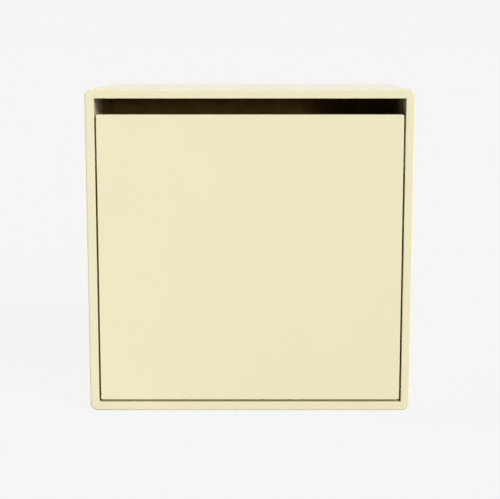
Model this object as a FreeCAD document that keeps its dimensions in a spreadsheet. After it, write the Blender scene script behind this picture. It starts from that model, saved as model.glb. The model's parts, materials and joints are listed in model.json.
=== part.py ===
import FreeCAD, Part
import math
import os
import Sketcher
from FreeCAD import Rotation, Vector

# Wall mailbox: a mitred, lacquered box with a letter slot above an inset door. The door turns on two pins
# near its bottom edge and is held open by two curved stays. Front faces -Y, up is +Z, and the origin is the
# middle of the underside. All sizes are in millimetres.

doc = FreeCAD.newDocument("mailbox")
sheet = doc.addObject("Spreadsheet::Sheet", "Dims")

SIZES = (
    ("width", 354, "box, across the front"),
    ("height", 354, "box, underside to top"),
    ("depth", 200, "box, front to back"),
    ("wall", 10, "board of the top, bottom and sides"),
    ("corner_radius", 8, "outer corners, seen from the front"),
    ("outer_softening", 2, "front edges of the box, outside"),
    ("inner_softening", 0.5, "front edges of the box, inside, and edges of the door"),
    ("slot_height", 17.2, "letter slot, door to top board"),
    ("door_gap", 2, "door to box, at the sides"),
    ("door_gap_below", 2.5, "door to bottom board"),
    ("door_thickness", 12, "door board"),
    ("door_corner", 2, "corners of the door, seen from the front"),
    ("back_thickness", 8, "back board"),
    ("rebate_width", 6, "back board's seat in the walls"),
    ("back_fit", 0.2, "back board to rebate, each side"),
    ("spline_thickness", 2.5, "mitre spline"),
    ("spline_width", 7, "mitre spline, across the joint"),
    ("spline_seat", 5.5, "inner corner to the middle of the spline, along the mitre"),
    ("spline_margin", 15, "end of the spline to the front, and to the back board"),
    ("wall_hole_span", 250, "wall screws, across and up"),
    ("eyelet_bore", 5.5, "wall screw eyelet, inside"),
    ("eyelet_barrel", 7.5, "wall screw eyelet, outside"),
    ("eyelet_flange", 13, "wall screw eyelet, flange"),
    ("eyelet_lip", 1, "wall screw eyelet, flange thickness"),
    ("screw_thread", 3, "wood screw, thread diameter"),
    ("screw_head", 5.4, "wood screw, head diameter"),
    ("screw_cone", 1.6, "wood screw, head height"),
    ("screw_point", 3, "wood screw, point length"),
    ("screw_fit", 0.05, "wood screw to its hole, all round"),
    ("cross_width", 0.8, "wood screw, recess arm width"),
    ("cross_span", 3, "wood screw, recess arm length"),
    ("cross_depth", 1.1, "wood screw, recess depth"),
    ("rim_thread", 2.5, "back board's screw, thread diameter"),
    ("rim_head", 4.6, "back board's screw, head diameter"),
    ("rim_screw", 20, "back board's screw, length"),
    ("rim_inset", 3.2, "back board's screw, from the inner face of the wall"),
    ("rim_span", 210, "back board's screws, one to the next along a side"),
    ("pin_diameter", 4, "pivot pin"),
    ("pin_in_door", 18, "pivot pin, length held in the door"),
    ("pin_in_bush", 6, "pivot pin, length in the bush"),
    ("pin_spare", 9, "room behind the pin, for pushing it in"),
    ("pin_running", 0.05, "pin to bush, all round"),
    ("pin_chamfer", 0.5, "pin's ends"),
    ("pivot_setback", 6, "front of the door to the pivot"),
    ("swing_clearance", 0.8, "door's bottom front corner to the bottom board as it swings"),
    ("bush_diameter", 7, "pivot bush, outside"),
    ("bush_length", 7, "pivot bush, flush in the side board"),
    ("set_screw", 3, "pin's set screw, diameter"),
    ("set_screw_key", 1.5, "pin's set screw, key size"),
    ("set_screw_inset", 10, "pin's set screw, from the edge of the door"),
    ("stay_radius", 100, "stay, middle of the bar, about the pivot"),
    ("stay_width", 10, "stay, bar width"),
    ("stay_thickness", 3, "stay, bar thickness"),
    ("stay_inset", 4, "stay to side board"),
    ("stay_fit", 0.4, "stay to guide, all round"),
    ("stay_tail", 6, "stay, bar past the stop's middle"),
    ("tail_rounding", 4, "stay, corners of the tail"),
    ("foot_width", 22, "stay's foot, across"),
    ("foot_height", 26, "stay's foot, up"),
    ("foot_rounding", 4, "stay's foot, free corners"),
    ("foot_screw_span", 14, "stay's foot, between screws"),
    ("foot_screw", 10, "stay's foot, screw length"),
    ("open_angle", 75, "door's travel"),
    ("stop_diameter", 8, "stay's stop, collar"),
    ("stop_height", 3.5, "stay's stop, collar"),
    ("stop_stem", 4, "stay's stop, stem diameter"),
    ("stop_clearance", 0.3, "stop to guide at full travel"),
    ("guide_gap", 3, "guide to the stay's foot"),
    ("guide_length", 14, "guide, front to back"),
    ("guide_height", 42, "guide, up"),
    ("guide_thickness", 10, "guide, out from the side board"),
    ("guide_softening", 1.5, "guide, edges"),
    ("guide_screw_span", 30, "guide, between screws"),
    ("guide_screw", 16, "guide, screw length"),
    ("catch_drop", 38, "door's top edge to the middle of the catch"),
    ("catch_gap", 0.3, "catch's poles to strike plate"),
    ("catch_width", 13, "catch, out from the side board"),
    ("catch_depth", 15, "catch, front to back"),
    ("catch_body", 34, "catch, body height"),
    ("catch_ear", 11, "catch, height of each ear"),
    ("catch_ear_thickness", 4, "catch, ear thickness"),
    ("ear_rounding", 3, "catch, corners of the ears"),
    ("catch_softening", 1, "catch, edges of the body"),
    ("catch_screw", 12, "catch, screw length"),
    ("magnet_thickness", 5, "magnet, between the poles"),
    ("magnet_height", 27, "magnet"),
    ("magnet_depth", 10, "magnet, front to back"),
    ("pole_thickness", 1.5, "pole plate"),
    ("pole_proud", 1, "pole plate, past the catch's face"),
    ("pole_depth", 12, "pole plate, front to back"),
    ("strike_width", 12, "strike plate, across"),
    ("strike_height", 38, "strike plate, up"),
    ("strike_thickness", 1.6, "strike plate"),
    ("strike_rounding", 2, "strike plate, corners"),
    ("strike_screw", 10, "strike plate, screw length"),
)
for line, (name, size, what) in enumerate(SIZES, start=1):
    sheet.set(f"A{line}", what)
    sheet.set(f"B{line}", str(size))
    sheet.setAlias(f"B{line}", name)
doc.recompute()

# Places worked out from the sizes, as expressions.
front = "(-Dims.depth / 2)"
rear = "(Dims.depth / 2)"
middle = "(Dims.height / 2)"
half_inside = "(Dims.width / 2 - Dims.wall)"
half_inside_height = "(Dims.height / 2 - Dims.wall)"
ceiling = "(Dims.height - Dims.wall)"
back_front = f"({rear} - Dims.back_thickness)"

door_half = f"({half_inside} - Dims.door_gap)"
door_bottom = "(Dims.wall + Dims.door_gap_below)"
door_top = f"({ceiling} - Dims.slot_height)"
door_back = f"({front} + Dims.door_thickness)"
pivot_y = f"({front} + Dims.pivot_setback)"

stay_outer_x = f"(-{half_inside} + Dims.stay_inset)"
stay_inner_x = f"({stay_outer_x} + Dims.stay_thickness)"
foot_back = f"({door_back} + Dims.stay_thickness)"
foot_screw_x = f"({stay_inner_x} + (Dims.foot_width - Dims.stay_thickness) / 2)"

guide_front = f"({foot_back} + Dims.guide_gap)"
guide_back = f"({guide_front} + Dims.guide_length)"
guide_y = f"(({guide_front} + {guide_back}) / 2)"
guide_inner_x = f"(-{half_inside} + Dims.guide_thickness)"

# Angles about the pivot, from straight back towards straight up: where the stop meets the guide, and the
# stay's ends.
stop_reach = f"({guide_back} - {pivot_y} + Dims.stop_diameter / 2 + Dims.stop_clearance)"
stop_angle = f"(acos({stop_reach} / Dims.stay_radius) / 1 deg - Dims.open_angle)"
tail_angle = f"({stop_angle} - Dims.stay_tail / Dims.stay_radius * 180 / pi)"
root_angle = f"(acos(({door_back} + Dims.stay_thickness / 2 - {pivot_y}) / Dims.stay_radius) / 1 deg)"

# The pivot stands high enough for the door's bottom front corner to swing clear of the bottom board, and for
# the stays' tails to rest clear of it.
swing_room = "(Dims.door_gap_below - Dims.swing_clearance)"
corner_rise = f"((Dims.pivot_setback ^ 2 - {swing_room} ^ 2) / (2 * {swing_room}))"
tail_drop = f"((Dims.stay_radius + Dims.stay_width / 2) * sin(-{tail_angle}))"
pivot_z = f"max({door_bottom} + {corner_rise}; Dims.wall + Dims.swing_clearance + {tail_drop})"
foot_z = f"({pivot_z} + Dims.stay_radius)"
guide_z = f"({pivot_z} + sqrt(Dims.stay_radius ^ 2 - ({guide_y} - {pivot_y}) ^ 2))"

strike_back = f"({door_back} + Dims.strike_thickness)"
pole_front = f"({strike_back} + Dims.catch_gap)"
catch_front = f"({pole_front} + Dims.pole_proud)"
catch_z = f"({door_top} - Dims.catch_drop)"
catch_x = f"(-{half_inside} + Dims.catch_width / 2)"

NORMAL = {"XY_Plane": 1, "XZ_Plane": -1, "YZ_Plane": 1}


def value(expression):
    return float(sheet.evalExpression(expression))


def bind(thing, **expressions):
    for name, expression in expressions.items():
        thing.setExpression(name.replace("__", "."), expression)


def new_body(label):
    made = doc.addObject("PartDesign::Body", label)
    made.Label = label
    made.AllowCompound = True
    return made


def sketch_on(part, plane, level="0", u="0", v="0", turn=0):
    """A sketch on a plane of the part's origin, moved to that level along the plane's world axis."""
    drawn = part.newObject("Sketcher::SketchObject", part.Name + "_sketch")
    origin_plane = next(f for f in part.Origin.OriginFeatures if f.Role == plane)
    drawn.AttachmentSupport = (origin_plane, [""])
    drawn.MapMode = "FlatFace"
    drawn.AttachmentOffset = FreeCAD.Placement(Vector(0, 0, 0), Rotation(Vector(0, 0, 1), turn))
    drawn.setExpression("AttachmentOffset.Base.x", u)
    drawn.setExpression("AttachmentOffset.Base.y", v)
    drawn.setExpression("AttachmentOffset.Base.z", f"{NORMAL[plane]} * {level}")
    return drawn


def pin_point(drawn, piece, end, u, v):
    for kind, place in (("DistanceX", u), ("DistanceY", v)):
        number = drawn.addConstraint(Sketcher.Constraint(kind, -1, 1, piece, end, value(place)))
        drawn.setExpression(f"Constraints[{number}]", place)


def outline(drawn, corners):
    """A closed outline, counter-clockwise. A corner is (u, v), with (centre_u, centre_v, radius) after it
    where an arc runs to the next corner."""
    first = drawn.GeometryCount
    count = len(corners)
    for i, corner in enumerate(corners):
        following = corners[(i + 1) % count]
        start = Vector(value(corner[0]), value(corner[1]), 0)
        end = Vector(value(following[0]), value(following[1]), 0)
        if len(corner) == 2:
            drawn.addGeometry(Part.LineSegment(start, end))
            continue
        centre = Vector(value(corner[2]), value(corner[3]), 0)
        angles = [math.atan2(p.y - centre.y, p.x - centre.x) for p in (start, end)]
        if angles[1] < angles[0]:
            angles[1] += 2 * math.pi
        circle = Part.Circle(centre, Vector(0, 0, 1), value(corner[4]))
        drawn.addGeometry(Part.ArcOfCircle(circle, *angles))
    for i, corner in enumerate(corners):
        drawn.addConstraint(Sketcher.Constraint("Coincident", first + i, 2, first + (i + 1) % count, 1))
        pin_point(drawn, first + i, 1, corner[0], corner[1])
        if len(corner) > 2:
            number = drawn.addConstraint(Sketcher.Constraint("Radius", first + i, value(corner[4])))
            drawn.setExpression(f"Constraints[{number}]", corner[4])
    return drawn


def rectangle(drawn, u0, u1, v0, v1):
    return outline(drawn, [(u0, v0), (u1, v0), (u1, v1), (u0, v1)])


def circle(drawn, u, v, diameter):
    ring = drawn.addGeometry(Part.Circle(Vector(value(u), value(v), 0), Vector(0, 0, 1), value(diameter) / 2))
    pin_point(drawn, ring, 3, u, v)
    number = drawn.addConstraint(Sketcher.Constraint("Diameter", ring, value(diameter)))
    drawn.setExpression(f"Constraints[{number}]", diameter)
    return drawn


def plane_of(drawn):
    return drawn.AttachmentSupport[0][0].Role


def pad(part, drawn, length, towards=1):
    """Material from the sketch, along its plane's world axis if towards is 1 and against it if -1."""
    made = part.newObject("PartDesign::Pad", part.Name + "_pad")
    made.Profile = drawn
    made.Reversed = towards != NORMAL[plane_of(drawn)]
    bind(made, Length=length)
    doc.recompute()
    return made


def pocket(part, drawn, depth, towards=1):
    """A cut from the sketch, along its plane's world axis if towards is 1 and against it if -1."""
    before = part.Shape.Volume
    made = part.newObject("PartDesign::Pocket", part.Name + "_pocket")
    made.Profile = drawn
    made.Reversed = towards == NORMAL[plane_of(drawn)]
    bind(made, Length=depth)
    doc.recompute()
    if not part.Shape.Volume < before:
        raise ValueError(f"{part.Label}: {made.Name} cuts nothing")
    return made


def revolve(part, drawn, axis="V_Axis", cut=False, up="360", down=None):
    """The sketch turned about one of its axes, to add material or to cut it away."""
    before = part.Shape.Volume if cut else 0
    kind = "Groove" if cut else "Revolution"
    made = part.newObject("PartDesign::" + kind, f"{part.Name}_{kind.lower()}")
    made.Profile = drawn
    made.ReferenceAxis = (drawn, [axis])
    if down is not None:
        made.Type = "TwoAngles"
        bind(made, Angle2=down)
    bind(made, Angle=up)
    doc.recompute()
    if cut and not part.Shape.Volume < before:
        raise ValueError(f"{part.Label}: {made.Name} cuts nothing")
    return made


def soften(part, radius, test, kind="Fillet"):
    """A fillet or chamfer on every edge that the test picks."""
    base = part.Tip
    edges = [f"Edge{i}" for i, edge in enumerate(base.Shape.Edges, start=1) if test(edge)]
    made = part.newObject("PartDesign::" + kind, f"{part.Name}_{kind.lower()}")
    made.Base = (base, edges)
    bind(made, **{"Radius" if kind == "Fillet" else "Size": radius})
    doc.recompute()
    return made


def lies_at(edge, axis, place, within=1e-4):
    """Whether both ends of an edge are at that place along an axis, 0 to 2."""
    return all(abs(vertex.Point[axis] - place) < within for vertex in edge.Vertexes)


def runs_along(edge, axis):
    """Whether an edge is straight and parallel to that axis."""
    if len(edge.Vertexes) < 2:
        return False
    return abs(abs((edge.Vertexes[1].Point - edge.Vertexes[0].Point)[axis]) - edge.Length) < 1e-6


def turned_to(facing):
    """How far a sketch on the XY plane turns for its own upward axis to point that way."""
    return {"+Y": 0, "+X": -90}[facing]


def screw_profile(drawn, length, thread="Dims.screw_thread", head="Dims.screw_head", fit="0"):
    """Half a countersunk screw, head up, with its flat face at the sketch's origin."""
    corners = [
        ("0", f"-({length})"),
        (f"{thread} / 2 + {fit}", f"-({length} - Dims.screw_point)"),
        (f"{thread} / 2 + {fit}", "-Dims.screw_cone"),
        (f"{head} / 2 + {fit}", "0"),
        ("0", "0"),
    ]
    return outline(drawn, corners)


def screw_seat(part, facing, x, y, z, length, **sizes):
    """The hole that a countersunk screw needs, with its head flush at that point."""
    turn = turned_to(facing)
    drawn = sketch_on(part, "XY_Plane", z, x, y, turn)
    screw_profile(drawn, length, fit="Dims.screw_fit", **sizes)
    revolve(part, drawn, cut=True)


def screw(label, facing, x, y, z, length, **sizes):
    """A countersunk screw with a cross recess, its head flush at that point."""
    made = new_body(label)
    drawn = sketch_on(made, "XZ_Plane")
    screw_profile(drawn, length, **sizes)
    revolve(made, drawn)
    arm, tip = "Dims.cross_width / 2", "Dims.cross_span / 2"
    quarter = [(arm, f"-{arm}"), (tip, f"-{arm}"), (tip, arm)]
    cross = []
    for turn in range(4):
        for u, v in quarter:
            for _ in range(turn):
                u, v = f"-({v})", u
            cross.append((u, v))
    pocket(made, outline(sketch_on(made, "XY_Plane"), cross), "Dims.cross_depth", towards=-1)
    way = {"+Y": Vector(0, 1, 0), "+X": Vector(1, 0, 0)}[facing]
    made.Placement = FreeCAD.Placement(Vector(0, 0, 0), Rotation(Vector(0, 0, 1), way))
    bind(made, Placement__Base__x=x, Placement__Base__y=y, Placement__Base__z=z)
    return made


def mirrored(source, label):
    """The same piece on the right-hand side."""
    made = doc.addObject("Part::Mirroring", label)
    made.Label = label
    made.Source = source
    made.Base = Vector(0, 0, 0)
    made.Normal = Vector(1, 0, 0)
    return made


def group(label, pieces):
    """Identical loose pieces that share a node."""
    made = doc.addObject("Part::Compound", label)
    made.Label = label
    made.Links = pieces
    return made


def both_sides(label, pieces):
    return group(label, pieces + [mirrored(piece, piece.Name + "_right") for piece in pieces])


# Boards of the box


def box_corner(x_side, z_side, inset, x_inset=None):
    """A point that far in from a corner of the box, seen from the front."""
    x_inset = inset if x_inset is None else x_inset
    x = f"{x_side} * (Dims.width / 2 - {x_inset})"
    z = f"({middle} + {z_side} * (Dims.height / 2 - {inset}))"
    return x, z


def mitred_board(label, start, end, level):
    """A board of the box between two corners, its inner face first, going round the box's middle."""
    made = new_body(label)
    round_inset = "(Dims.corner_radius * (1 - cos(45)))"
    centres = {corner: box_corner(*corner, "Dims.corner_radius") for corner in (start, end)}
    tangents = {}
    for corner in (start, end):
        insets = ("0", "Dims.corner_radius") if level else ("Dims.corner_radius", "0")
        tangents[corner] = box_corner(*corner, *insets)
    corners = [
        box_corner(*start, "Dims.wall"),
        box_corner(*end, "Dims.wall"),
        (*box_corner(*end, round_inset), *centres[end], "Dims.corner_radius"),
        tangents[end],
        (*tangents[start], *centres[start], "Dims.corner_radius"),
        box_corner(*start, round_inset),
    ]
    pad(made, outline(sketch_on(made, "XZ_Plane", front), corners), "Dims.depth")
    soften_board(made, level)
    cut_rebate(made)
    cut_spline_slots(made)
    return made


def soften_board(made, level):
    across = 2 if level else 0
    inner = value(half_inside_height if level else half_inside)
    centre = value(middle) if level else 0

    def on_front(edge):
        return lies_at(edge, 1, value(front))

    def is_inner(edge):
        ends = [abs(vertex.Point[across] - centre) for vertex in edge.Vertexes]
        return on_front(edge) and all(abs(place - inner) < 1e-4 for place in ends)

    def is_outer(edge):
        along = edge.Vertexes[1].Point - edge.Vertexes[0].Point
        mitred = abs(abs(along.x) - abs(along.z)) < 1e-4
        return on_front(edge) and not is_inner(edge) and not mitred

    soften(made, "Dims.outer_softening", is_outer)
    soften(made, "Dims.inner_softening", is_inner)


def cut_rebate(made):
    """The seat of the back board, cut from behind."""
    seat = sketch_on(made, "XZ_Plane", back_front)
    reach = f"({half_inside} + Dims.rebate_width)"
    rise = f"({half_inside_height} + Dims.rebate_width)"
    rectangle(seat, f"-{reach}", reach, f"{middle} - {rise}", f"{middle} + {rise}")
    pocket(made, seat, "Dims.back_thickness")


def spline_outlines(drawn, corners):
    """The section of each mitre spline, square across its joint."""
    seat = "Dims.wall - Dims.spline_seat * cos(45)"
    along = "Dims.spline_thickness / 2 * cos(45)"
    across = "Dims.spline_width / 2 * cos(45)"
    for x_side, z_side in corners:
        x, z = box_corner(x_side, z_side, f"({seat})")
        ring = [(-1, -1), (1, -1), (1, 1), (-1, 1)]
        if x_side == z_side:
            ring.reverse()
        points = []
        for m, n in ring:
            u = f"{x} + {x_side} * ({m} * {along} + {n} * {across})"
            v = f"{z} + {z_side} * ({m} * {along} - {n} * {across})"
            points.append((u, v))
        outline(drawn, points)
    return drawn


BOX_CORNERS = ((-1, -1), (1, -1), (1, 1), (-1, 1))
BOARD_ENDS = {
    "top_panel": ((-1, 1), (1, 1)),
    "bottom_panel": ((1, -1), (-1, -1)),
    "left_side_panel": ((-1, -1), (-1, 1)),
}
spline_start = f"({front} + Dims.spline_margin)"
spline_length = f"({back_front} - Dims.spline_margin - {spline_start})"


def cut_spline_slots(made):
    slots = sketch_on(made, "XZ_Plane", spline_start)
    pocket(made, spline_outlines(slots, BOARD_ENDS[made.Label]), spline_length)


def corner_splines():
    made = new_body("corner_splines")
    pad(made, spline_outlines(sketch_on(made, "XZ_Plane", spline_start), BOX_CORNERS), spline_length)
    return made


# Back board, its screws, and the eyelets for the wall screws

RIM_SIZES = {"thread": "Dims.rim_thread", "head": "Dims.rim_head"}
rim_x = f"({half_inside} + Dims.rim_inset)"
rim_z = f"({half_inside_height} + Dims.rim_inset)"


def rim_places():
    """Each screw of the back board, with the board of the box that it goes into."""
    places = []
    for side in (-1, 1):
        along = f"{side} * Dims.rim_span / 2"
        places.append(("top_panel", along, f"({middle} + {rim_z})"))
        places.append(("bottom_panel", along, f"({middle} - {rim_z})"))
        places.append(("left_side_panel", f"-{rim_x}", f"({middle} + {along})"))
        places.append(("right_side_panel", rim_x, f"({middle} + {along})"))
    return places


def wall_hole_places():
    for x_side, z_side in BOX_CORNERS:
        yield f"{x_side} * Dims.wall_hole_span / 2", f"({middle} + {z_side} * Dims.wall_hole_span / 2)"


def back_panel():
    made = new_body("back_panel")
    reach = f"({half_inside} + Dims.rebate_width - Dims.back_fit)"
    rise = f"({half_inside_height} + Dims.rebate_width - Dims.back_fit)"
    blank = sketch_on(made, "XZ_Plane", back_front)
    rectangle(blank, f"-{reach}", reach, f"{middle} - {rise}", f"{middle} + {rise}")
    pad(made, blank, "Dims.back_thickness")
    holes = sketch_on(made, "XZ_Plane", back_front)
    for x, z in wall_hole_places():
        circle(holes, x, z, "Dims.eyelet_barrel")
    pocket(made, holes, "Dims.back_thickness")
    for _, x, z in rim_places():
        screw_seat(made, "+Y", x, rear, z, "Dims.rim_screw", **RIM_SIZES)
    return made


def back_panel_screws():
    screws = []
    for number, (_, x, z) in enumerate(rim_places()):
        screws.append(screw(f"rim_screw_{number}", "+Y", x, rear, z, "Dims.rim_screw", **RIM_SIZES))
    return group("back_panel_screws", screws)


def wall_eyelets():
    """Flanged eyelets that keep the wall screws from crushing the back board."""
    eyelets = []
    for number, (x, z) in enumerate(wall_hole_places()):
        made = new_body(f"wall_eyelet_{number}")
        section = sketch_on(made, "XY_Plane", z, x, back_front)
        corners = [
            ("Dims.eyelet_bore / 2", "-Dims.eyelet_lip"),
            ("Dims.eyelet_flange / 2", "-Dims.eyelet_lip"),
            ("Dims.eyelet_flange / 2", "0"),
            ("Dims.eyelet_barrel / 2", "0"),
            ("Dims.eyelet_barrel / 2", "Dims.back_thickness"),
            ("Dims.eyelet_bore / 2", "Dims.back_thickness"),
        ]
        revolve(made, outline(section, corners))
        eyelets.append(made)
    return group("wall_eyelets", eyelets)


# Side boards


def side_fixings():
    """Each screw that goes into the left side board: its head's place and its length."""
    for side in (-1, 1):
        z = f"({guide_z} + {side} * Dims.guide_screw_span / 2)"
        yield "guide", guide_inner_x, guide_y, z, "Dims.guide_screw"
    ear_x = f"(-{half_inside} + Dims.catch_ear_thickness)"
    ear_y = f"({catch_front} + Dims.catch_depth / 2)"
    for side in (-1, 1):
        z = f"({catch_z} + {side} * (Dims.catch_body + Dims.catch_ear) / 2)"
        yield "catch", ear_x, ear_y, z, "Dims.catch_screw"


def left_side_panel():
    made = mitred_board("left_side_panel", *BOARD_ENDS["left_side_panel"], level=False)
    seat = circle(sketch_on(made, "YZ_Plane", f"-{half_inside}"), pivot_y, pivot_z, "Dims.bush_diameter")
    pocket(made, seat, "Dims.bush_length", towards=-1)
    for _, x, y, z, length in side_fixings():
        screw_seat(made, "+X", x, y, z, length)
    return made


def level_board(label):
    return mitred_board(label, *BOARD_ENDS[label], level=True)


def drill_for_rim_screws(boards):
    """The back board's screws go on into the boards of the box."""
    for owner, x, z in rim_places():
        if owner in boards:
            screw_seat(boards[owner], "+Y", x, rear, z, "Dims.rim_screw", **RIM_SIZES)


# Door and its pivots

set_screw_x = f"(-{door_half} + Dims.set_screw_inset)"


def door_fixings():
    """Each screw that goes into the left half of the door from behind: its head's place and its length."""
    for side in (-1, 1):
        z = f"({foot_z} + {side} * Dims.foot_screw_span / 2)"
        yield "foot", foot_screw_x, foot_back, z, "Dims.foot_screw"
    yield "strike", catch_x, strike_back, catch_z, "Dims.strike_screw"


def door_panel():
    made = new_body("door_panel")
    blank = sketch_on(made, "XZ_Plane", front)
    rectangle(blank, f"-{door_half}", door_half, door_bottom, door_top)
    pad(made, blank, "Dims.door_thickness")
    soften(made, "Dims.door_corner", lambda edge: runs_along(edge, 1))
    soften(made, "Dims.inner_softening", lambda edge: not runs_along(edge, 1))
    for side in (-1, 1):
        bore = sketch_on(made, "YZ_Plane", f"{side} * {door_half}")
        circle(bore, pivot_y, pivot_z, "Dims.pin_diameter")
        pocket(made, bore, "Dims.pin_in_door + Dims.pin_spare", towards=-side)
        key_hole = sketch_on(made, "XZ_Plane", door_back)
        circle(key_hole, f"{-side} * {set_screw_x}", pivot_z, "Dims.set_screw")
        pocket(made, key_hole, f"{door_back} - {pivot_y}", towards=-1)
        for _, x, y, z, length in door_fixings():
            screw_seat(made, "+Y", f"{-side} * {x}", y, z, length)
    return made


def pivot_pin():
    made = new_body("pivot_pin_left")
    start = f"(-{half_inside} - Dims.pin_in_bush)"
    end = circle(sketch_on(made, "YZ_Plane", start), pivot_y, pivot_z, "Dims.pin_diameter")
    pad(made, end, "Dims.pin_in_bush + Dims.door_gap + Dims.pin_in_door")
    soften(made, "Dims.pin_chamfer", lambda edge: len(edge.Vertexes) == 1, kind="Chamfer")
    return made


def pivot_bush():
    made = new_body("pivot_bush_left")
    ring = sketch_on(made, "YZ_Plane", f"-{half_inside}")
    circle(ring, pivot_y, pivot_z, "Dims.bush_diameter")
    circle(ring, pivot_y, pivot_z, "Dims.pin_diameter + 2 * Dims.pin_running")
    pad(made, ring, "Dims.bush_length", towards=-1)
    return made


def pin_set_screw():
    """A headless screw that locks the pin from behind the door."""
    made = new_body("pin_set_screw_left")
    length = f"({door_back} - {pivot_y} - Dims.pin_diameter / 2)"
    end = circle(sketch_on(made, "XZ_Plane", door_back), set_screw_x, pivot_z, "Dims.set_screw")
    pad(made, end, length, towards=-1)
    key = sketch_on(made, "XZ_Plane", door_back)
    reach = "Dims.set_screw_key / 2 / cos(30)"
    corners = []
    for turn in range(6):
        u = f"{set_screw_x} + {reach} * cos({60 * turn})"
        v = f"{pivot_z} + {reach} * sin({60 * turn})"
        corners.append((u, v))
    pocket(made, outline(key, corners), f"{length} / 2", towards=-1)
    return made


# Stays that hold the door open


def about_pivot(part):
    """A level sketch whose own first axis is the door's pivot."""
    return sketch_on(part, "XY_Plane", pivot_z, "0", pivot_y)


def stay_arm():
    """A curved flat bar about the pivot, with a foot turned over against the back of the door."""
    made = new_body("stay_arm_left")
    bar = about_pivot(made)
    inner, outer = "Dims.stay_radius - Dims.stay_width / 2", "Dims.stay_radius + Dims.stay_width / 2"
    rectangle(bar, stay_outer_x, stay_inner_x, inner, outer)
    revolve(made, bar, "H_Axis", up=root_angle, down=f"-{tail_angle}")
    tail_y = value(f"{pivot_y} + (Dims.stay_radius - Dims.stay_width) * cos({tail_angle})")
    soften(made, "Dims.tail_rounding", lambda edge: runs_along(edge, 0) and edge.Vertexes[0].Y > tail_y)
    foot = sketch_on(made, "XZ_Plane", door_back)
    foot_inner_x = f"({stay_outer_x} + Dims.foot_width)"
    low, high = f"{foot_z} - Dims.foot_height / 2", f"{foot_z} + Dims.foot_height / 2"
    rectangle(foot, stay_outer_x, foot_inner_x, low, high)
    pad(made, foot, "Dims.stay_thickness")
    free_x = value(foot_inner_x)
    soften(made, "Dims.foot_rounding", lambda edge: runs_along(edge, 1) and lies_at(edge, 0, free_x))
    for use, x, y, z, length in door_fixings():
        if use == "foot":
            screw_seat(made, "+Y", x, y, z, length)
    stem = circle(stop_sketch(made, stay_outer_x), *STOP_CENTRE, "Dims.stop_stem")
    pocket(made, stem, "Dims.stay_thickness")
    return made


STOP_CENTRE = (
    f"{pivot_y} + Dims.stay_radius * cos({stop_angle})",
    f"{pivot_z} + Dims.stay_radius * sin({stop_angle})",
)


def stop_sketch(part, x):
    return sketch_on(part, "YZ_Plane", x)


def stay_stop():
    """The collar at the stay's tail that meets the guide, with its stem through the bar."""
    made = new_body("stay_stop_left")
    stem = circle(stop_sketch(made, stay_outer_x), *STOP_CENTRE, "Dims.stop_stem")
    pad(made, stem, "Dims.stay_thickness")
    collar = circle(stop_sketch(made, stay_inner_x), *STOP_CENTRE, "Dims.stop_diameter")
    pad(made, collar, "Dims.stop_height")
    return made


def stay_guide():
    """A block on the side board with a curved slot for the stay."""
    made = new_body("stay_guide_left")
    block = sketch_on(made, "YZ_Plane", f"-{half_inside}")
    low, high = f"{guide_z} - Dims.guide_height / 2", f"{guide_z} + Dims.guide_height / 2"
    rectangle(block, guide_front, guide_back, low, high)
    pad(made, block, "Dims.guide_thickness")
    inner = value(guide_inner_x)
    soften(made, "Dims.guide_softening", lambda edge: any(abs(v.X - inner) < 1e-4 for v in edge.Vertexes))
    slot = about_pivot(made)
    reach = "(Dims.stay_width / 2 + Dims.stay_fit)"
    sides = f"{stay_outer_x} - Dims.stay_fit", f"{stay_inner_x} + Dims.stay_fit"
    rectangle(slot, *sides, f"Dims.stay_radius - {reach}", f"Dims.stay_radius + {reach}")
    revolve(made, slot, "H_Axis", cut=True)
    for use, x, y, z, length in side_fixings():
        if use == "guide":
            screw_seat(made, "+X", x, y, z, length)
    return made


# Magnetic catches


def catch_levels(rise):
    """The lower and upper end of something that reaches that far from the catch's middle."""
    return f"{catch_z} - {rise}", f"{catch_z} + {rise}"


def catch_housing():
    made = new_body("catch_housing_left")
    wall_x = f"-{half_inside}"
    ends = f"{catch_front}", f"{catch_front} + Dims.catch_depth"
    ears = sketch_on(made, "YZ_Plane", wall_x)
    rectangle(ears, *ends, *catch_levels("(Dims.catch_body / 2 + Dims.catch_ear)"))
    pad(made, ears, "Dims.catch_ear_thickness")
    soften(made, "Dims.ear_rounding", lambda edge: runs_along(edge, 0))
    case = sketch_on(made, "YZ_Plane", wall_x)
    rectangle(case, *ends, *catch_levels("Dims.catch_body / 2"))
    pad(made, case, "Dims.catch_width")
    face_x = value(f"-{half_inside} + Dims.catch_width")
    soften(made, "Dims.catch_softening", lambda edge: lies_at(edge, 0, face_x))
    seat = sketch_on(made, "XZ_Plane", catch_front)
    half, rise = "(Dims.magnet_thickness / 2 + Dims.pole_thickness)", "Dims.magnet_height / 2"
    rectangle(seat, f"{catch_x} - {half}", f"{catch_x} + {half}", *catch_levels(rise))
    pocket(made, seat, "Dims.pole_depth - Dims.pole_proud")
    for use, x, y, z, length in side_fixings():
        if use == "catch":
            screw_seat(made, "+X", x, y, z, length)
    return made


def catch_block(label, first, last, start, depth):
    """A plate in the catch's seat, from one place to another across it."""
    made = new_body(label)
    face = sketch_on(made, "XZ_Plane", start)
    rectangle(face, f"{catch_x} + {first}", f"{catch_x} + {last}", *catch_levels("Dims.magnet_height / 2"))
    pad(made, face, depth)
    return made


def catch_magnet():
    half = "Dims.magnet_thickness / 2"
    start = f"({pole_front} + Dims.pole_depth - Dims.magnet_depth)"
    return catch_block("catch_magnet_left", f"-{half}", half, start, "Dims.magnet_depth")


def catch_poles():
    near, far = "Dims.magnet_thickness / 2", "(Dims.magnet_thickness / 2 + Dims.pole_thickness)"
    outer = catch_block("pole_outer", f"-{far}", f"-{near}", pole_front, "Dims.pole_depth")
    inner = catch_block("pole_inner", near, far, pole_front, "Dims.pole_depth")
    return group("catch_poles_left", [outer, inner])


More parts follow.
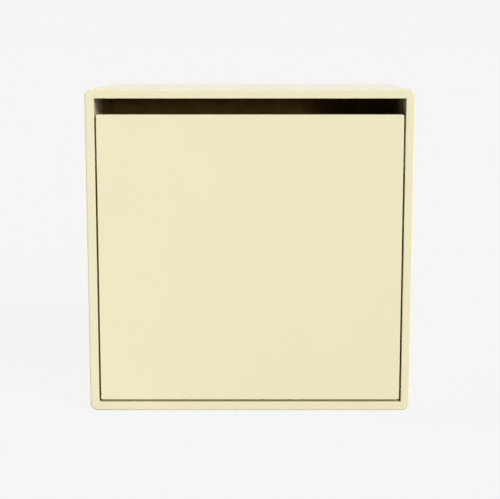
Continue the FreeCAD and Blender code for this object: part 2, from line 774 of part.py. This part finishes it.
def strike_plate():
    made = new_body("strike_plate_left")
    face = sketch_on(made, "XZ_Plane", door_back)
    half, rise = "Dims.strike_width / 2", "Dims.strike_height / 2"
    rectangle(face, f"{catch_x} - {half}", f"{catch_x} + {half}", *catch_levels(rise))
    pad(made, face, "Dims.strike_thickness")
    soften(made, "Dims.strike_rounding", lambda edge: runs_along(edge, 1))
    for use, x, y, z, length in door_fixings():
        if use == "strike":
            screw_seat(made, "+Y", x, y, z, length)
    return made


def fixing_screws(label, fixings, use, facing):
    """The screws of one use, on both sides."""
    screws = []
    for number, (this_use, x, y, z, length) in enumerate(fixings):
        if this_use == use:
            screws.append(screw(f"{use}_screw_{number}", facing, x, y, z, length))
    return both_sides(label, screws)


# Everything together

left_side = left_side_panel()
boards = {
    "top_panel": level_board("top_panel"),
    "bottom_panel": level_board("bottom_panel"),
    "left_side_panel": left_side,
}
drill_for_rim_screws(boards)
left_pieces = [left_side, pivot_pin(), pivot_bush(), stay_arm(), stay_stop(), stay_guide()]
left_pieces += [catch_housing(), catch_magnet(), catch_poles(), strike_plate()]
pieces = [boards["top_panel"], boards["bottom_panel"], back_panel(), corner_splines(), door_panel()]
pieces += left_pieces
pieces += [mirrored(piece, piece.Label.replace("left", "right")) for piece in left_pieces]
pieces += [back_panel_screws(), wall_eyelets()]
pieces.append(both_sides("pin_set_screws", [pin_set_screw()]))
pieces.append(fixing_screws("stay_guide_screws", side_fixings(), "guide", "+X"))
pieces.append(fixing_screws("catch_screws", side_fixings(), "catch", "+X"))
pieces.append(fixing_screws("stay_foot_screws", door_fixings(), "foot", "+Y"))
pieces.append(fixing_screws("strike_screws", door_fixings(), "strike", "+Y"))
doc.recompute()

for thing in doc.Objects:
    if "Invalid" in thing.State or "Error" in thing.State:
        raise ValueError(f"{thing.Label} failed: {thing.State}")
for piece in pieces:
    if piece.Shape.isNull() or not piece.Shape.isValid():
        raise ValueError(f"{piece.Label} has no valid shape")

os.makedirs("parts", exist_ok=True)
for piece in pieces:
    piece.Shape.exportStep(f"parts/{piece.Label}.step")
    solids = len(piece.Shape.Solids)
    print(f"{piece.Label}: {solids} solid(s), {piece.Shape.Volume:.1f} mm3")
print(f"pivot at y {value(pivot_y):.4f}, z {value(pivot_z):.4f}; stop at {value(stop_angle):.2f} degrees")
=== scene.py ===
import json
import math

import bpy
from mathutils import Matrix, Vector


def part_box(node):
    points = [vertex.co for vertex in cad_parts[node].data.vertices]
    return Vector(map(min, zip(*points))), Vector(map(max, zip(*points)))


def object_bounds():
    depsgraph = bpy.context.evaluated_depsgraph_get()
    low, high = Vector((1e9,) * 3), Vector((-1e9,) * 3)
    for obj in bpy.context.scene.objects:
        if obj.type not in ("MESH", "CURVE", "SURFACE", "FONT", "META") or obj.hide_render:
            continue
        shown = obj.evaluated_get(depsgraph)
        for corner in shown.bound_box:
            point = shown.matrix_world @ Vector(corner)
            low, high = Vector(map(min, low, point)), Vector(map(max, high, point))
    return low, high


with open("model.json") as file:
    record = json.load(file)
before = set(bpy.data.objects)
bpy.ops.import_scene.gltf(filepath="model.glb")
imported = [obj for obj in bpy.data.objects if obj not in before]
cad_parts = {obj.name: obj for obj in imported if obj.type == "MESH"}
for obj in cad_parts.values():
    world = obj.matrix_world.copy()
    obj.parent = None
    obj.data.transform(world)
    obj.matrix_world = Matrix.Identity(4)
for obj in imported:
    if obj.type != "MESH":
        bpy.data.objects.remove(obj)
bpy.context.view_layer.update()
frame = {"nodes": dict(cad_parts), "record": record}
nodes = frame["nodes"]
lowCorner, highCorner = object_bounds()
slotOfNode = {part["node"]: part["material_slot"] for part in frame["record"]["subparts"]}
print("loaded", len(nodes), "pieces")

millimetre = 0.001


def linearColour(hexColour):
    channels = []
    for start in (1, 3, 5):
        part = int(hexColour[start:start + 2], 16) / 255
        channels.append(part / 12.92 if part <= 0.04045 else ((part + 0.055) / 1.055) ** 2.4)
    return (*channels, 1)


def addNode(tree, kind, settings=None, links=None):
    # settings go to the inputs of that name or number, or else to the node itself; links come from outputs
    node = tree.nodes.new(kind)
    for name, value in (settings or {}).items():
        if isinstance(name, int) or name in node.inputs:
            node.inputs[name].default_value = value
        else:
            setattr(node, name, value)
    for name, source in (links or {}).items():
        tree.links.new(source, node.inputs[name])
    return node


def newMaterial(name):
    material = bpy.data.materials.new(name)
    material.use_nodes = True
    material.node_tree.nodes.clear()
    return material, material.node_tree


def finishMaterial(tree, settings, links):
    shader = addNode(tree, "ShaderNodeBsdfPrincipled", settings, links)
    addNode(tree, "ShaderNodeOutputMaterial", links={"Surface": shader.outputs["BSDF"]})


# Lacquer: polyurethane sprayed on fibreboard and left satin. It looks flat and even, with a soft sheen, a
# fine orange peel and the faintest cloudiness where the coat is thicker. The boards of the box are sprayed
# from outside, so inside the coat thins out behind the front edge and leaves the bare brown board, whose
# dark brown also serves as painted shade deep inside the box.
lacquer = {
    "colour": "#EAE3C1",
    "thickCoat": "#E8E0BA",
    "roughness": 0.18,
    "roughnessSpread": 0.03,
    "ior": 1.5,
    "cloudSize": 90 * millimetre,
    "cloudDetail": 2,
    "peelSize": 2.5 * millimetre,  # real orange peel is 1 to 3 mm across
    "peelDetail": 1,
    "peelHeight": 0.003 * millimetre,
}
# Bare fibreboard, as it comes from the saw: matt brown, with a fine mottle of fibre bundles. Inside the box
# this brown is also painted shade, deeper in behind the front edge.
bareBoardAndPaintedShade = {
    "colour": "#A8874F",
    "fibreColour": "#8E6F3C",
    "roughness": 0.75,
    "fibreSize": 0.8 * millimetre,
    "fibreDetail": 3,
    # where the lacquer gives way to brown inside: partly bare board, partly painted shade
    "coatEndsShadeBegins": 40 * millimetre,  # behind the front edge
    "coatAndShadeFade": 50 * millimetre,  # over this length
    "raggedSize": 30 * millimetre,
    "raggedness": 10 * millimetre,
    "slack": 0.1 * millimetre,  # how near to an inner face counts as on it
}


def thinOutToBoardAndShade(tree, size, place, tint, rough):
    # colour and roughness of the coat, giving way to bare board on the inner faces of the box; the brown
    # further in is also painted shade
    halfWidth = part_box("right_side_panel")[0].x
    low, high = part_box("bottom_panel")[1].z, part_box("top_panel")[0].z
    inWidth = {"operation": "COMPARE", 1: 0, 2: halfWidth + size["slack"]}
    inHeight = {"operation": "COMPARE", 1: (low + high) / 2, 2: (high - low) / 2 + size["slack"]}
    start = lowCorner.y + size["coatEndsShadeBegins"]
    fading = {"From Min": start, "From Max": start + size["coatAndShadeFade"]}

    axes = addNode(tree, "ShaderNodeSeparateXYZ", links={"Vector": place})
    across = addNode(tree, "ShaderNodeMath", inWidth, {0: axes.outputs["X"]})
    upward = addNode(tree, "ShaderNodeMath", inHeight, {0: axes.outputs["Z"]})
    inside = addNode(tree, "ShaderNodeMath", {"operation": "MULTIPLY"}, {
        0: across.outputs[0],
        1: upward.outputs[0],
    })
    ragged = addNode(tree, "ShaderNodeTexNoise", {"Scale": 1 / size["raggedSize"]}, {"Vector": place})
    depth = addNode(tree, "ShaderNodeMath", {"operation": "MULTIPLY_ADD", 1: size["raggedness"]}, {
        0: ragged.outputs["Fac"],
        2: axes.outputs["Y"],
    })
    fade = addNode(tree, "ShaderNodeMapRange", fading, {"Value": depth.outputs[0]})
    innerBoardAndShade = addNode(tree, "ShaderNodeMath", {"operation": "MULTIPLY"}, {
        0: inside.outputs[0],
        1: fade.outputs[0],
    })
    fibres = addNode(tree, "ShaderNodeTexNoise", {
        "Scale": 1 / size["fibreSize"],
        "Detail": size["fibreDetail"],
    }, {"Vector": place})
    # brown board colour: partly bare board, partly painted shade inside the box
    boardAndShadeColour = addNode(tree, "ShaderNodeMix", {
        "data_type": "RGBA",
        6: linearColour(size["colour"]),
        7: linearColour(size["fibreColour"]),
    }, {0: fibres.outputs["Fac"]})
    colour = addNode(tree, "ShaderNodeMix", {"data_type": "RGBA"}, {
        0: innerBoardAndShade.outputs[0],
        6: tint,
        7: boardAndShadeColour.outputs[2],
    })
    roughness = addNode(tree, "ShaderNodeMapRange", {"To Max": size["roughness"]}, {
        "Value": innerBoardAndShade.outputs[0],
        "To Min": rough,
    })
    return colour.outputs[2], roughness.outputs["Result"]


def makeLacquer(name, size, innerBoardAndShade=None):
    material, tree = newMaterial(name)
    place = addNode(tree, "ShaderNodeTexCoord").outputs["Object"]
    clouds = addNode(tree, "ShaderNodeTexNoise", {
        "Scale": 1 / size["cloudSize"],
        "Detail": size["cloudDetail"],
    }, {"Vector": place})
    tint = addNode(tree, "ShaderNodeMix", {
        "data_type": "RGBA",
        6: linearColour(size["colour"]),
        7: linearColour(size["thickCoat"]),
    }, {0: clouds.outputs["Fac"]}).outputs[2]
    rough = addNode(tree, "ShaderNodeMapRange", {
        "To Min": size["roughness"] - size["roughnessSpread"],
        "To Max": size["roughness"] + size["roughnessSpread"],
    }, {"Value": clouds.outputs["Fac"]}).outputs["Result"]
    if innerBoardAndShade:
        tint, rough = thinOutToBoardAndShade(tree, innerBoardAndShade, place, tint, rough)
    peel = addNode(tree, "ShaderNodeTexNoise", {
        "Scale": 1 / size["peelSize"],
        "Detail": size["peelDetail"],
    }, {"Vector": place})
    bump = addNode(tree, "ShaderNodeBump", {"Distance": size["peelHeight"]}, {"Height": peel.outputs["Fac"]})
    finishMaterial(tree, {"IOR": size["ior"]}, {
        "Base Color": tint,
        "Roughness": rough,
        "Normal": bump.outputs["Normal"],
    })
    return material


# Hardboard: hot-pressed wood fibre, brown and smooth, mottled, with short fibres showing.
hardboard = {
    "colour": "#9F7B3E",
    "darkColour": "#84642F",
    "roughness": 0.6,
    "shine": 0.25,
    "mottleSize": 14 * millimetre,
    "mottleDetail": 4,
    "fibreWidth": 0.35 * millimetre,  # real fibres are finer; drawn coarse enough to show
    "fibreLength": 2.5 * millimetre,
    "fibreTurns": (35, -50),  # degrees; fibres lie across each other
    "fibreHeight": 0.02 * millimetre,
    "darkest": 0.15,  # where the pattern is all dark
    "lightest": 0.45,  # and all light
}


def makeHardboard(size):
    material, tree = newMaterial("smoothHardboard")
    place = addNode(tree, "ShaderNodeTexCoord").outputs["Object"]
    mottle = addNode(tree, "ShaderNodeTexNoise", {
        "Scale": 1 / size["mottleSize"],
        "Detail": size["mottleDetail"],
    }, {"Vector": place})
    scale = (1 / size["fibreLength"], 1 / size["fibreWidth"], 1 / size["fibreWidth"])
    layers = []
    for turn in size["fibreTurns"]:
        rotation = (0, math.radians(turn), 0)
        turned = addNode(tree, "ShaderNodeMapping", {"Rotation": rotation}, {"Vector": place})
        drawn = addNode(tree, "ShaderNodeMapping", {"Scale": scale}, {"Vector": turned.outputs["Vector"]})
        layer = addNode(tree, "ShaderNodeTexNoise", {"Scale": 1}, {"Vector": drawn.outputs["Vector"]})
        layers.append(layer.outputs["Fac"])
    fibres = addNode(tree, "ShaderNodeMath", {"operation": "MAXIMUM"}, {0: layers[0], 1: layers[1]})
    patches = addNode(tree, "ShaderNodeMath", {"operation": "MULTIPLY"}, {
        0: fibres.outputs[0],
        1: mottle.outputs["Fac"],
    })
    shade = addNode(tree, "ShaderNodeMapRange", {
        "From Min": size["darkest"],
        "From Max": size["lightest"],
    }, {"Value": patches.outputs[0]})
    tint = addNode(tree, "ShaderNodeMix", {
        "data_type": "RGBA",
        6: linearColour(size["darkColour"]),
        7: linearColour(size["colour"]),
    }, {0: shade.outputs["Result"]})
    bump = addNode(tree, "ShaderNodeBump", {"Distance": size["fibreHeight"]}, {"Height": fibres.outputs[0]})
    finishMaterial(tree, {"Roughness": size["roughness"], "Specular IOR Level": size["shine"]}, {
        "Base Color": tint.outputs[2],
        "Normal": bump.outputs["Normal"],
    })
    return material


# Nickel-plated steel, satin: warm grey metal with fine brushing.
nickel = {
    "colour": "#C3BCB0",
    "roughness": 0.3,
    "roughnessSpread": 0.08,
    "brushWidth": 0.25 * millimetre,  # real lines are about 0.05 mm; drawn coarse enough to show
    "brushLength": 6 * millimetre,
    "brushDetail": 3,
    "brushDepth": 0.004 * millimetre,
}


def makeNickel(size):
    material, tree = newMaterial("satinNickelPlate")
    place = addNode(tree, "ShaderNodeTexCoord").outputs["Object"]
    scale = (1 / size["brushWidth"], 1 / size["brushLength"], 1 / size["brushLength"])
    drawn = addNode(tree, "ShaderNodeMapping", {"Scale": scale}, {"Vector": place})
    lines = addNode(tree, "ShaderNodeTexNoise", {
        "Scale": 1,
        "Detail": size["brushDetail"],
    }, {"Vector": drawn.outputs["Vector"]})
    rough = addNode(tree, "ShaderNodeMapRange", {
        "To Min": size["roughness"] - size["roughnessSpread"],
        "To Max": size["roughness"] + size["roughnessSpread"],
    }, {"Value": lines.outputs["Fac"]})
    bump = addNode(tree, "ShaderNodeBump", {"Distance": size["brushDepth"]}, {"Height": lines.outputs["Fac"]})
    finishMaterial(tree, {"Base Color": linearColour(size["colour"]), "Metallic": 1}, {
        "Roughness": rough.outputs["Result"],
        "Normal": bump.outputs["Normal"],
    })
    return material


# Zinc-plated steel, bright: cooler than nickel, with small dull patches.
zinc = {
    "colour": "#BFC4C9",
    "dullColour": "#A4A9AC",
    "roughness": 0.32,
    "dullRoughness": 0.48,
    "patchSize": 1.2 * millimetre,
    "patchDetail": 3,
}


def makeZinc(size):
    material, tree = newMaterial("brightZincPlate")
    place = addNode(tree, "ShaderNodeTexCoord").outputs["Object"]
    patches = addNode(tree, "ShaderNodeTexNoise", {
        "Scale": 1 / size["patchSize"],
        "Detail": size["patchDetail"],
    }, {"Vector": place})
    tint = addNode(tree, "ShaderNodeMix", {
        "data_type": "RGBA",
        6: linearColour(size["colour"]),
        7: linearColour(size["dullColour"]),
    }, {0: patches.outputs["Fac"]})
    rough = addNode(tree, "ShaderNodeMapRange", {
        "To Min": size["roughness"],
        "To Max": size["dullRoughness"],
    }, {"Value": patches.outputs["Fac"]})
    finishMaterial(tree, {"Metallic": 1}, {
        "Base Color": tint.outputs[2],
        "Roughness": rough.outputs["Result"],
    })
    return material


# Black oxide on steel: nearly black, a little oily.
blackOxide = {
    "colour": "#2A2B2E",
    "roughness": 0.45,
    "roughnessSpread": 0.1,
    "grainSize": 0.4 * millimetre,  # the real grain is finer; drawn coarse enough to show
}


def makeBlackOxide(size):
    material, tree = newMaterial("blackOxideSteel")
    place = addNode(tree, "ShaderNodeTexCoord").outputs["Object"]
    grain = addNode(tree, "ShaderNodeTexNoise", {"Scale": 1 / size["grainSize"]}, {"Vector": place})
    rough = addNode(tree, "ShaderNodeMapRange", {
        "To Min": size["roughness"] - size["roughnessSpread"],
        "To Max": size["roughness"] + size["roughnessSpread"],
    }, {"Value": grain.outputs["Fac"]})
    finishMaterial(tree, {"Base Color": linearColour(size["colour"]), "Metallic": 1}, {
        "Roughness": rough.outputs["Result"],
    })
    return material


# Nylon, moulded, matt, with a fine spark-eroded texture from the mould. It is milky white as it comes, or
# dyed black.
nylon = {
    "colour": "#E9E6DA",
    "scatterShare": 0.15,  # of the light, which goes in and comes out again
    "roughness": 0.5,
    "ior": 1.53,
    "textureSize": 0.5 * millimetre,  # the real texture is about 0.1 mm; drawn coarse enough to show
    "textureHeight": 0.02 * millimetre,
    "scatterDepth": 1.5 * millimetre,
}
blackNylon = {**nylon, "colour": "#1C1C1D", "scatterShare": 0}


def makeNylon(name, size):
    material, tree = newMaterial(name)
    place = addNode(tree, "ShaderNodeTexCoord").outputs["Object"]
    texture = addNode(tree, "ShaderNodeTexNoise", {"Scale": 1 / size["textureSize"]}, {"Vector": place})
    bump = addNode(tree, "ShaderNodeBump", {"Distance": size["textureHeight"]}, {
        "Height": texture.outputs["Fac"],
    })
    finishMaterial(tree, {
        "Base Color": linearColour(size["colour"]),
        "Roughness": size["roughness"],
        "IOR": size["ior"],
        "Subsurface Weight": size["scatterShare"],
        "Subsurface Scale": size["scatterDepth"],
    }, {"Normal": bump.outputs["Normal"]})
    return material


# Ferrite, ground: dark grey ceramic, dull, with fine pits.
ferrite = {
    "colour": "#39393C",
    "pitColour": "#242426",
    "roughness": 0.62,
    "pitSize": 0.35 * millimetre,  # real pits are about 0.1 mm; drawn coarse enough to show
    "pitDetail": 4,
}


def makeFerrite(size):
    material, tree = newMaterial("groundFerrite")
    place = addNode(tree, "ShaderNodeTexCoord").outputs["Object"]
    pits = addNode(tree, "ShaderNodeTexNoise", {
        "Scale": 1 / size["pitSize"],
        "Detail": size["pitDetail"],
    }, {"Vector": place})
    tint = addNode(tree, "ShaderNodeMix", {
        "data_type": "RGBA",
        6: linearColour(size["colour"]),
        7: linearColour(size["pitColour"]),
    }, {0: pits.outputs["Fac"]})
    finishMaterial(tree, {"Roughness": size["roughness"]}, {"Base Color": tint.outputs[2]})
    return material


# Beech, sawn: pinkish tan with short dark flecks along the grain.
beech = {
    "colour": "#D3AA7D",
    "fleckColour": "#B5855A",
    "roughness": 0.65,
    "grainWidth": 0.6 * millimetre,
    "grainLength": 12 * millimetre,
    "grainDetail": 4,
}


def makeBeech(size):
    material, tree = newMaterial("sawnBeech")
    place = addNode(tree, "ShaderNodeTexCoord").outputs["Object"]
    scale = (1 / size["grainWidth"], 1 / size["grainLength"], 1 / size["grainWidth"])
    drawn = addNode(tree, "ShaderNodeMapping", {"Scale": scale}, {"Vector": place})
    grain = addNode(tree, "ShaderNodeTexNoise", {
        "Scale": 1,
        "Detail": size["grainDetail"],
    }, {"Vector": drawn.outputs["Vector"]})
    tint = addNode(tree, "ShaderNodeMix", {
        "data_type": "RGBA",
        6: linearColour(size["colour"]),
        7: linearColour(size["fleckColour"]),
    }, {0: grain.outputs["Fac"]})
    finishMaterial(tree, {"Roughness": size["roughness"]}, {"Base Color": tint.outputs[2]})
    return material


materialOfSlot = {
    "lacquered_board": makeLacquer("satinLacquerWithPaintedShadeInside", lacquer, bareBoardAndPaintedShade),
    "beech_strip": makeBeech(beech),
    "white_nylon": makeNylon("mouldedNaturalNylon", nylon),
    "black_nylon": makeNylon("mouldedBlackNylon", blackNylon),
    "brown_hardboard": makeHardboard(hardboard),
    "ferrite": makeFerrite(ferrite),
    "nickel_plated_steel": makeNickel(nickel),
    "zinc_plated_steel": makeZinc(zinc),
    "blackened_steel": makeBlackOxide(blackOxide),
}
materialOfNode = {"door_panel": makeLacquer("satinLacquerAllRound", lacquer)}  # both faces are sprayed
for name, piece in nodes.items():
    piece.data.materials.clear()
    piece.data.materials.append(materialOfNode.get(name, materialOfSlot[slotOfNode[name]]))
print("materials on every piece")

# Floor and surround: a white sweep with a weak glow, which comes mostly from the right and from behind
studio = {
    "white": "#F5F5F5",  # what floor and surround both look like
    "floorSize": 400,
    "floorGlow": 0.87,  # the floor's own light, so that shadows on it stay faint
    "floorBounce": 0.2,  # how much of that falls on the box
    "floorColour": "#404040",
    "floorRoughness": 0.9,
    "glow": 0.03,  # the surround as a light, away from its bright side
    "glowSide": 0.33,  # and towards its bright side
    "glowTurn": 45,  # degrees to the right of the front
    "backGlow": 0.95,  # what the bright sweep behind the box adds
}


def makeFloor(size):
    bpy.ops.mesh.primitive_plane_add(size=size["floorSize"], location=(0, 0, lowCorner.z))
    floor = bpy.context.object
    floor.name = "floor"
    material, tree = newMaterial("matteWhitePaper")
    rays = addNode(tree, "ShaderNodeLightPath")
    glow = addNode(tree, "ShaderNodeMapRange", {
        "To Min": size["floorGlow"],
        "To Max": size["floorBounce"],
    }, {"Value": rays.outputs["Is Diffuse Ray"]})
    finishMaterial(tree, {
        "Base Color": linearColour(size["floorColour"]),
        "Roughness": size["floorRoughness"],
        "Specular IOR Level": 0,
        "Emission Color": (1, 1, 1, 1),
    }, {"Emission Strength": glow.outputs["Result"]})
    floor.data.materials.append(material)


def makeSurround(size):
    world = bpy.data.worlds.new("surround")
    bpy.context.scene.world = world
    world.use_nodes = True
    tree = world.node_tree
    tree.nodes.clear()
    turn = math.radians(size["glowTurn"])
    brightSide = {"operation": "DOT_PRODUCT", 1: (math.sin(turn), -math.cos(turn), 0)}
    way = addNode(tree, "ShaderNodeTexCoord").outputs["Generated"]
    sideways = addNode(tree, "ShaderNodeVectorMath", brightSide, {0: way})
    fromSide = addNode(tree, "ShaderNodeMapRange", {
        "To Min": size["glow"],
        "To Max": size["glowSide"],
    }, {"Value": sideways.outputs["Value"]})
    axes = addNode(tree, "ShaderNodeSeparateXYZ", links={"Vector": way})
    fromBehind = addNode(tree, "ShaderNodeMapRange", {"To Max": size["backGlow"]}, {
        "Value": axes.outputs["Y"],
    })
    glow = addNode(tree, "ShaderNodeMath", {"operation": "ADD"}, {
        0: fromSide.outputs["Result"],
        1: fromBehind.outputs["Result"],
    })
    # plain white to look at and in reflections, and a light only for what it falls on
    rays = addNode(tree, "ShaderNodeLightPath")
    strength = addNode(tree, "ShaderNodeMapRange", {"To Min": 1}, {
        "Value": rays.outputs["Is Diffuse Ray"],
        "To Max": glow.outputs[0],
    })
    white = addNode(tree, "ShaderNodeBackground", {"Color": linearColour(size["white"])}, {
        "Strength": strength.outputs["Result"],
    })
    addNode(tree, "ShaderNodeOutputWorld", links={"Surface": white.outputs["Background"]})


# Lamps: a soft key light from the right, a low light that reaches in through the slot, and a far light on the
# left side. Each has its strength, then its degrees above the horizon, to the right of the front, and across.
lamps = {
    "keyLight": {"strength": 3.05, "height": 26, "side": 40, "softness": 30},
    "lowLight": {"strength": 0.42, "height": 4.5, "side": 25, "softness": 8},
    "farLight": {"strength": 2, "height": 15, "side": -98, "softness": 20},
}


def makeLamp(name, size):
    light = bpy.data.lights.new(name, "SUN")
    light.energy = size["strength"]
    light.angle = math.radians(size["softness"])
    lamp = bpy.data.objects.new(name, light)
    bpy.context.scene.collection.objects.link(lamp)
    lamp.rotation_euler = (math.radians(90 - size["height"]), 0, math.radians(size["side"]))
    lamp.visible_glossy = False  # the gloss shows only the surround, with no glare


makeFloor(studio)
makeSurround(studio)
for lampName, lampSize in lamps.items():
    makeLamp(lampName, lampSize)
print("studio ready")

# Camera: in front of the middle of the box, a little above it
view = {
    "distance": 1.365,
    "height": 9,  # degrees above the horizon
    "aimAbove": 3.87 * millimetre,  # from the middle of the door side to where it looks
    "lens": 90.39,
    "sensor": 36,
}


def makeCamera(size):
    camera = bpy.data.objects.new("camera", bpy.data.cameras.new("camera"))
    bpy.context.scene.collection.objects.link(camera)
    camera.data.lens = size["lens"]
    camera.data.sensor_width = size["sensor"]
    angle = math.radians(size["height"])
    back, up = size["distance"] * math.cos(angle), size["distance"] * math.sin(angle)
    aimHeight = (lowCorner.z + highCorner.z) / 2 + size["aimAbove"]
    camera.location = ((lowCorner.x + highCorner.x) / 2, lowCorner.y - back, aimHeight + up)
    camera.rotation_euler = (math.radians(90 - size["height"]), 0, 0)
    bpy.context.scene.camera = camera


makeCamera(view)
bpy.context.scene.view_settings.view_transform = "Standard"
print("camera ready")
